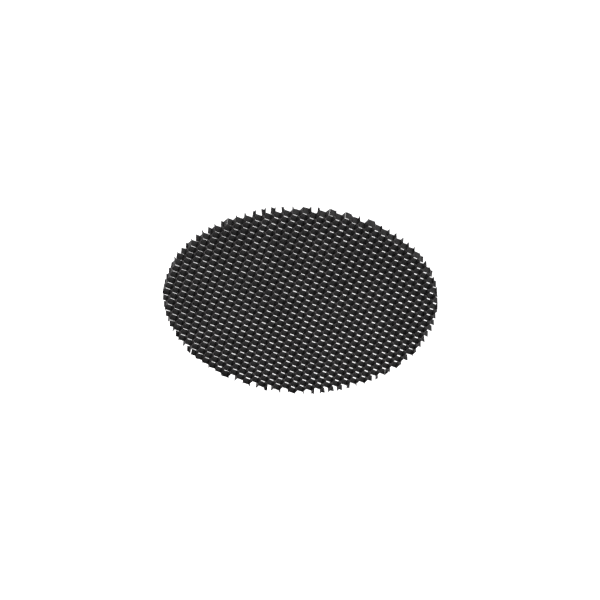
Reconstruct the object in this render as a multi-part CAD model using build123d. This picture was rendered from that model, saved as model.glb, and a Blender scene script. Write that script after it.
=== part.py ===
from build123d import *
import math
import os

# A thin round disc of expanded honeycomb: corrugated foil strips stand on edge side by side, glued to
# each other along their flats, and the finished sheet is trimmed to a circle.
# Origin: centre of the disc on its underside. The strips run along Y, and +Z is up.

# Driving dimensions, in millimetres
disc_diameter = 93.2
disc_thickness = 2.62
cell_width = 3.2          # from one cell to the next, across the strips
cell_length = 5.32        # from one cell to the next, along a strip: one whole wave of the foil
flat_length = 1.45        # glued flat of the foil, between the corners of its centre line
foil_thickness = 0.13     # foil with its coating
glue_gap = 0.03           # adhesive line between two flats
bend_radius = 0.16        # inside radius of every fold
glue_recess = 0.05        # the adhesive stops this far short of both faces of the disc
shortest_glue_line = 0.4  # a glue line trimmed shorter than this at the rim lets go
cell_offset_x = -0.57     # where the cell nearest to the middle has its centre
cell_offset_y = 0.11

# Sizes that follow
strip_spacing = cell_width / 2
half_wave = cell_length / 2
swing = (strip_spacing - foil_thickness - glue_gap) / 2
slant_angle = math.atan2(2 * swing, half_wave - flat_length)
centre_line_radius = bend_radius + foil_thickness / 2
fold_run = centre_line_radius * math.tan(slant_angle / 2)
glue_length = flat_length - 2 * fold_run
first_strip_x = cell_offset_x - strip_spacing / 2
waves_each_way = math.ceil(disc_diameter / cell_length) + 1
strips_each_way = math.ceil(disc_diameter / cell_width) + 1
touching = glue_gap / 10


def strip_x(number):
    return first_strip_x + number * strip_spacing


def strip_y(number):
    """Y of a crest of this strip: neighbours are half a wave apart."""
    return cell_offset_y + (number % 2 + 1) * half_wave


def foil_side(corners, offset):
    """One side of the foil in plan: straight runs, and a tangent arc round every fold."""
    edges = []
    start = corners[0]
    for before, corner, after in zip(corners, corners[1:], corners[2:]):
        arriving = (corner - before).normalized()
        leaving = (after - corner).normalized()
        fold_start = corner - arriving * fold_run + arriving.rotate(Axis.Z, 90) * offset
        fold_end = corner + leaving * fold_run + leaving.rotate(Axis.Z, 90) * offset
        if edges:
            edges.append(Line(start, fold_start))
        edges.append(TangentArc(fold_start, fold_end, tangent=arriving))
        start = fold_end
    return edges


def long_strip():
    """The corrugated foil in plan, longer than the disc, with its mean line on the Y axis."""
    corners = []
    for half_waves in range(-2 * waves_each_way, 2 * waves_each_way + 1):
        side = 1 if half_waves % 2 == 0 else -1
        for end in (-1, 1):
            corners.append(Vector(side * swing, half_waves * half_wave + end * flat_length / 2))
    left = foil_side(corners, foil_thickness / 2)
    right = foil_side(corners, -foil_thickness / 2)
    ends = [Line(left[0] @ 0, right[0] @ 0), Line(left[-1] @ 1, right[-1] @ 1)]
    return make_face(left + right + ends)


def trimmed(plan):
    """The faces left of a plan outline after the round cut."""
    cut = plan & Circle(disc_diameter / 2)
    return [] if cut is None else list(cut.faces())


def all_strip_pieces():
    """(strip number, face) of everything the round cut leaves of the strips."""
    pattern = long_strip()
    pieces = []
    for number in range(-strips_each_way, strips_each_way + 1):
        if abs(strip_x(number)) < disc_diameter / 2 + strip_spacing:
            for face in trimmed(Pos(strip_x(number), strip_y(number)) * pattern):
                pieces.append((number, face))
    return pieces


def all_glue_lines():
    """(strip number, face) of every glue line between a strip and the next one."""
    lines = []
    for number in range(-strips_each_way, strips_each_way):
        x = strip_x(number) + strip_spacing / 2
        for wave in range(-waves_each_way, waves_each_way + 1):
            y = strip_y(number) + wave * cell_length
            if math.hypot(x, y) < disc_diameter / 2 + flat_length:
                for face in trimmed(Pos(x, y) * Rectangle(glue_gap, glue_length)):
                    if face.bounding_box().size.Y > shortest_glue_line:
                        lines.append((number, face))
    return lines


def glued_pieces(pieces, number, line):
    """Places in the list of the strip pieces, one on each side, that a glue line touches."""
    found = []
    for place, (owner, face) in enumerate(pieces):
        if owner in (number, number + 1) and face.distance_to(line) < touching:
            found.append(place)
    return found


def hold_together(pieces, lines):
    """Leave out the crumbs at the rim that no glue line joins to the middle of the disc."""
    joints = [(line, glued_pieces(pieces, number, line)) for number, line in lines]
    joints = [(line, ends) for line, ends in joints if len(ends) == 2]
    largest = max(range(len(pieces)), key=lambda place: pieces[place][1].area)
    held = {largest}
    grown = True
    while grown:
        grown = False
        for line, ends in joints:
            if len(held.intersection(ends)) == 1:
                held.update(ends)
                grown = True
    strips = [pieces[place] for place in sorted(held)]
    glue = [line for line, ends in joints if held.issuperset(ends)]
    return strips, glue


def write_node(name, solids):
    shape = solids[0] if len(solids) == 1 else Compound(children=solids)
    shape.label = name
    export_step(shape, f"parts/{name}.step", write_pcurves=False)


def foil_strips(strips):
    """One node for each strip, numbered from -X to +X."""
    numbers = sorted({number for number, face in strips})
    for place, wanted in enumerate(numbers, start=1):
        faces = [face for number, face in strips if number == wanted]
        solids = [extrude(face, disc_thickness, dir=(0, 0, 1)).solid() for face in faces]
        write_node(f"foil_strip_{place:02d}", solids)
    return len(numbers)


def glue_lines(glue):
    """All the adhesive between the strips, one solid for each glued flat."""
    height = disc_thickness - 2 * glue_recess
    solids = [Pos(0, 0, glue_recess) * extrude(face, height, dir=(0, 0, 1)).solid() for face in glue]
    write_node("glue_lines", solids)
    return len(solids)


os.makedirs("parts", exist_ok=True)
strips, glue = hold_together(all_strip_pieces(), all_glue_lines())
print("foil strips:", foil_strips(strips), "pieces:", len(strips))
print("glue lines:", glue_lines(glue))
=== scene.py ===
import bpy
import math
from mathutils import Matrix, Vector


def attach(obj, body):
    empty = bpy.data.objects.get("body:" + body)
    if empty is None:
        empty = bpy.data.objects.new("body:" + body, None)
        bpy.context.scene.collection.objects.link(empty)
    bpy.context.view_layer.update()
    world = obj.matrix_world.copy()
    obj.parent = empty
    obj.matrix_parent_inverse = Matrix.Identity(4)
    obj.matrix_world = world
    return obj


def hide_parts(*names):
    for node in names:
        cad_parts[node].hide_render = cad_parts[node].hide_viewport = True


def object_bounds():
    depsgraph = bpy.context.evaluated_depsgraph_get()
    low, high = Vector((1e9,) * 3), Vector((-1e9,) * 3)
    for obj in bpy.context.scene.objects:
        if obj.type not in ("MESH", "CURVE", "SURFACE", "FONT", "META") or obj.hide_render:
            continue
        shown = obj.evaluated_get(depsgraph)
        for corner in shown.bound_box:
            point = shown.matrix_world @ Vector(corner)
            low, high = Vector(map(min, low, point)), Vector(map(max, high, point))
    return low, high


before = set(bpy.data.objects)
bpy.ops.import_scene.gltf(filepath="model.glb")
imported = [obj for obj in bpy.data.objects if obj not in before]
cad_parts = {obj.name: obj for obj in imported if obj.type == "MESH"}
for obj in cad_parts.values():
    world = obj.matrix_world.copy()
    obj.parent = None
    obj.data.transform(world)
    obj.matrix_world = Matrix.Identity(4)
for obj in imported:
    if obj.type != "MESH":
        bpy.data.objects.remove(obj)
cad_low, cad_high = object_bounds()

MM = 0.001

# The disc's size, from the CAD
disc_radius = (cad_high.x - cad_low.x) / 2
disc_top = cad_high.z

# Camera, looking down on the disc and turned almost upside down about its own axis
camera_azimuth = 164.6
camera_elevation = 41.55
camera_roll = 182.0
camera_distance = 0.75
camera_lens = 132.3
camera_sensor = 36.0
aim = Vector((-0.31, -0.54, 0)) * MM

# Each piece is a copy of a CAD node, with its doubled points merged and its bends shaded smooth
merge_distance = 0.001 * MM
smooth_angle = 35.0

# Unevenness of a real sheet: the cells wander a little, and the trimmed cells at the rim are bent.
# The pattern along Y is stretched, so that it differs from the one along X.
cell_wander = 0.17 * MM
wander_scale = 8.0 * MM
rim_bend = 0.9 * MM
rim_bend_scale = 2.4 * MM
rim_band = 2.6 * MM
rim_falloff = 1.5
along_y_stretch = 1.15

# The sheet has a slight curl: it is a shallow trough, and two opposite sides of the rim stand up
curl_rise = 1.28 * MM
curl_azimuth = 164.6
curl_lattice_length = 140.0 * MM
curl_lattice_points = 9

# The coating's brightness: on the walls, in their paler patches, on cut edges and on the walls beside
# them, where it is rubbed and also carries a painted highlight. The strengths say how much of the patches
# and of the rubbing with its painted highlight shows.
wall_darkest = 0.004
wall_lightest = 0.009
wall_patch = 0.015
patch_strength = 0.35
# Cut edges: their lighter colour is partly rubbed, bare coating and partly a painted highlight
edge_wear_and_highlight_darkest = 0.035
edge_wear_and_highlight_lightest = 0.10
# Band on the walls beside the cut edges: partly rubbed coating, partly a painted highlight that widens the
# edges' own
rubbed_and_highlit_wall = 0.03
rub_and_highlight_strength = 0.5
rubbed_and_highlit_band = 0.14 * MM
coating_gloss = 0.17

# Noise scales of the coating and the glue, and the coating's fine grain
mottle_scale = 900.0
patch_scale = 120.0
glue_lump_scale = 1500.0
bump_strength = 0.12
bump_distance = 0.03 * MM

# Studio
sky_strength = 0.42
floor_size = 6.0
floor_drop = 0.02 * MM
floor_glow = 1.3


# ---------------------------------------------------------------- shader maths

class Socket:
    """A node output that can be used in Python expressions."""

    def __init__(self, finish, output):
        self.finish = finish
        self.output = output

    def maths(self, operation, first, second=0.0):
        return self.finish.node("Math", "Value", {"operation": operation}, Value=first, Value_001=second)

    def __add__(self, other):
        return self.maths("ADD", self, other)

    def __sub__(self, other):
        return self.maths("SUBTRACT", self, other)

    def __rsub__(self, other):
        return self.maths("SUBTRACT", other, self)

    def __mul__(self, other):
        return self.maths("MULTIPLY", self, other)

    def __abs__(self):
        return self.maths("ABSOLUTE", self)

    __radd__ = __add__
    __rmul__ = __mul__


def by_identifier(sockets):
    """A node's sockets by identifier, because a Mix or Math node has several of the same name."""
    return {socket.identifier.replace(" ", "_"): socket for socket in sockets}


class Finish:
    """A material under construction: its node tree and its principled shader."""

    def __init__(self, name):
        self.material = bpy.data.materials.new(name)
        self.material.use_nodes = True
        self.tree = self.material.node_tree

    def fill(self, node, inputs):
        """Gives a node's inputs their values, or links them."""
        slots = by_identifier(node.inputs)
        for name, value in inputs.items():
            if isinstance(value, Socket):
                self.tree.links.new(value.output, slots[name])
            else:
                slots[name].default_value = value

    def node(self, kind, output, settings=None, **inputs):
        """The named output of any new node. Its settings are set first, and then its inputs."""
        made = self.tree.nodes.new("ShaderNode" + kind)
        for name, value in (settings or {}).items():
            setattr(made, name, value)
        self.fill(made, inputs)
        return Socket(self, by_identifier(made.outputs)[output])

    def set(self, **inputs):
        self.fill(self.tree.nodes["Principled BSDF"], inputs)

    def mix(self, factor, first, second):
        return self.node("Mix", "Result_Color", {"data_type": "RGBA"},
                         Factor_Float=factor, A_Color=first, B_Color=second)

    def range(self, value, low, high, to_low=0.0, to_high=1.0):
        return self.node("MapRange", "Result", Value=value, From_Min=low, From_Max=high,
                         To_Min=to_low, To_Max=to_high)

    def noise(self, place, scale, detail, roughness=0.5):
        return self.node("TexNoise", "Fac", Vector=place, Scale=scale, Detail=detail, Roughness=roughness)

    def place(self):
        return self.node("TexCoord", "Object")


def grey(level, warmth=1.0):
    return (level * warmth, level, level, 1.0)


def black(level):
    """The coating's colour: black with a trace of purple, which shows where it is rubbed lighter."""
    return (level * 1.045, level * 0.965, level, 1.0)


# ---------------------------------------------------------------- materials

def height_in_sheet(foil, place):
    """How far a point is above the sheet's underside, measured as if the sheet weren't curled."""
    x, y, z = (foil.node("SeparateXYZ", axis, Vector=place) for axis in "XYZ")
    turn = math.radians(curl_azimuth)
    across = x * math.sin(turn) - y * math.cos(turn)
    return z - across * across * (curl_rise / disc_radius ** 2)


def black_coated_foil():
    """Thin black coating on foil: matt walls with a faint mottle, and rubbed, lighter cut edges that also
    carry a painted highlight.
    """
    foil = Finish("black_coated_foil")
    place = foil.place()
    # Noise lies mostly between 0.3 and 0.7, so the ranges stretch that part of it
    mottle = foil.noise(place, mottle_scale, detail=4.0, roughness=0.6)
    patches = foil.noise(place, patch_scale, detail=2.0)
    rubbed = foil.range(0.5 * mottle + 0.5 * patches, 0.42, 0.62)

    from_middle = abs(height_in_sheet(foil, place) - disc_top / 2)
    near_edge = foil.range(from_middle, disc_top / 2 - rubbed_and_highlit_band, disc_top / 2)
    wall = foil.mix(foil.range(mottle, 0.35, 0.7), black(wall_darkest), black(wall_lightest))
    wall = foil.mix(patch_strength * foil.range(patches, 0.4, 0.75), wall, black(wall_patch))
    # Lighter band along the cut edges: rubbed coating together with a painted highlight
    wall = foil.mix(near_edge * rubbed * rub_and_highlight_strength, wall, black(rubbed_and_highlit_wall))

    # Cut edges, the faces turned up or down, get a lighter colour: partly worn coating, partly a painted
    # highlight
    facing = foil.node("NewGeometry", "Normal")
    upright = abs(foil.node("SeparateXYZ", "Z", Vector=facing))
    cut_edge_wear_and_highlight_mask = foil.range(upright, 0.5, 0.8)
    edge_wear_and_highlight_colour = foil.mix(rubbed, black(edge_wear_and_highlight_darkest), black(edge_wear_and_highlight_lightest))

    foil.set(Base_Color=foil.mix(cut_edge_wear_and_highlight_mask, wall, edge_wear_and_highlight_colour))
    foil.set(Roughness=foil.range(mottle, 0.3, 0.7, 0.42, 0.58))
    foil.set(Specular_IOR_Level=coating_gloss)
    grain = foil.node("Bump", "Normal", Height=mottle, Strength=bump_strength, Distance=bump_distance)
    foil.set(Normal=grain)
    return foil.material


def node_adhesive():
    """Dark cured adhesive between the flats, a little uneven."""
    glue = Finish("node_adhesive")
    lumps = glue.noise(glue.place(), glue_lump_scale, detail=3.0)
    glue.set(Base_Color=glue.mix(glue.range(lumps, 0.35, 0.65), grey(0.02, 1.1), grey(0.05, 1.1)))
    glue.set(Roughness=glue.range(lumps, 0.3, 0.7, 0.45, 0.7))
    return glue.material


def pale_floor():
    """A plain white table that glows a little, so that it shows clean white through the cells."""
    table = Finish("pale_floor")
    table.set(Base_Color=grey(0.85), Roughness=0.9, Emission_Color=grey(1.0), Emission_Strength=floor_glow)
    return table.material


# ---------------------------------------------------------------- studio

def floor():
    bpy.ops.object.select_all(action="DESELECT")
    bpy.ops.mesh.primitive_plane_add(size=floor_size, location=(0, 0, -floor_drop))
    table = bpy.context.object
    table.name = "floor"
    table.data.materials.append(pale_floor())


def backward(azimuth, elevation):
    """The direction from the disc back to a camera or lamp. Azimuth 0 looks along +Y, and 90 along -X."""
    a, e = math.radians(azimuth), math.radians(elevation)
    return Vector((math.sin(a) * math.cos(e), -math.cos(a) * math.cos(e), math.sin(e)))


def soft_light(name, azimuth, elevation, distance, size, power):
    back = backward(azimuth, elevation)
    lamp = bpy.data.objects.new(name, bpy.data.lights.new(name, "AREA"))
    lamp.data.size = size
    lamp.data.energy = power
    lamp.location = back * distance
    lamp.rotation_euler = (-back).to_track_quat("-Z", "Y").to_euler()
    bpy.context.scene.collection.objects.link(lamp)


def studio():
    world = bpy.data.worlds.new("studio")
    world.use_nodes = True
    world.node_tree.nodes["Background"].inputs["Color"].default_value = (1, 1, 1, 1)
    world.node_tree.nodes["Background"].inputs["Strength"].default_value = sky_strength
    bpy.context.scene.world = world
    soft_light("key", azimuth=225, elevation=38, distance=1.2, size=0.7, power=10)
    soft_light("fill", azimuth=90, elevation=55, distance=1.4, size=1.0, power=4)
    bpy.context.scene.view_settings.view_transform = "Standard"


def camera():
    back = backward(camera_azimuth, camera_elevation)
    lens = bpy.data.cameras.new("camera")
    lens.lens = camera_lens
    lens.sensor_width = camera_sensor
    lens.clip_start = 0.01
    lens.clip_end = 20.0
    viewer = bpy.data.objects.new("camera", lens)
    viewer.rotation_mode = "QUATERNION"
    roll = Matrix.Rotation(math.radians(camera_roll), 3, back)
    viewer.rotation_quaternion = roll.to_quaternion() @ (-back).to_track_quat("-Z", "Y")
    viewer.location = aim + back * camera_distance
    bpy.context.scene.collection.objects.link(viewer)
    bpy.context.scene.camera = viewer


# ---------------------------------------------------------------- the disc

def clouds(name, size):
    texture = bpy.data.textures.new(name, "CLOUDS")
    texture.noise_scale = size
    texture.noise_depth = 1
    return texture


def push(piece, texture, direction, amount, group=""):
    """Moves a piece's points to and fro along one axis, by a smooth pattern in space."""
    shift = piece.modifiers.new("push", "DISPLACE")
    shift.texture = texture
    shift.direction = direction
    shift.texture_coords = "GLOBAL"
    shift.strength = amount
    shift.mid_level = 0.5
    shift.vertex_group = group
    bpy.ops.object.modifier_apply(modifier=shift.name)


def mark_rim(piece):
    """A vertex group that grows from nothing inside to full at the rim."""
    group = piece.vertex_groups.new(name="rim")
    for point in piece.data.vertices:
        inside = disc_radius - math.hypot(point.co.x, point.co.y)
        if inside < rim_band:
            group.add([point.index], (1 - max(inside, 0) / rim_band) ** rim_falloff, "REPLACE")


def curl_lattice():
    """A lattice over the whole disc, raised into a trough, which keeps the walls square to the sheet."""
    bpy.ops.object.select_all(action="DESELECT")
    bpy.ops.object.add(type="LATTICE", rotation=(0, 0, math.radians(curl_azimuth)))
    lattice = bpy.context.object
    lattice.scale = (curl_lattice_length,) * 3
    lattice.data.points_v = curl_lattice_points
    lattice.data.interpolation_type_u = lattice.data.interpolation_type_w = "KEY_LINEAR"
    lattice.data.interpolation_type_v = "KEY_CATMULL_ROM"
    for point in lattice.data.points:
        across = point.co.y * curl_lattice_length
        slope = 2 * curl_rise * across / disc_radius ** 2
        point.co_deform.y -= slope * point.co.z
        point.co_deform.z += slope * point.co.y / 2
    return lattice


def curl(piece):
    bend = piece.modifiers.new("curl", "LATTICE")
    bend.object = trough
    bpy.ops.object.modifier_apply(modifier=bend.name)


def uneven_piece(node, name, finish):
    """A foil strip or the glue as it really is: a merged copy of the node, uneven, bent and curled."""
    bpy.ops.object.select_all(action="DESELECT")
    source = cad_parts[node]
    source.select_set(True)
    bpy.context.view_layer.objects.active = source
    bpy.ops.object.duplicate()
    piece = bpy.context.object
    piece.name = name

    bpy.ops.object.mode_set(mode="EDIT")
    bpy.ops.mesh.select_all(action="SELECT")
    bpy.ops.mesh.remove_doubles(threshold=merge_distance)
    bpy.ops.object.mode_set(mode="OBJECT")
    bpy.ops.object.shade_smooth_by_angle(angle=math.radians(smooth_angle))

    mark_rim(piece)
    push(piece, wander_x, "X", cell_wander)
    push(piece, wander_y, "Y", cell_wander)
    push(piece, bend_x, "X", rim_bend, "rim")
    push(piece, bend_y, "Y", rim_bend, "rim")
    curl(piece)

    piece.data.materials.clear()
    piece.data.materials.append(finish)
    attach(piece, "root")
    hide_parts(node)


wander_x = clouds("wander_x", wander_scale)
wander_y = clouds("wander_y", wander_scale * along_y_stretch)
bend_x = clouds("bend_x", rim_bend_scale)
bend_y = clouds("bend_y", rim_bend_scale * along_y_stretch)
trough = curl_lattice()
foil_finish = black_coated_foil()
glue_finish = node_adhesive()

for node in sorted(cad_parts):
    if node == "glue_lines":
        uneven_piece(node, "adhesive", glue_finish)
    else:
        uneven_piece(node, node.replace("foil_strip", "strip"), foil_finish)

bpy.data.objects.remove(trough)

camera()
studio()
floor()
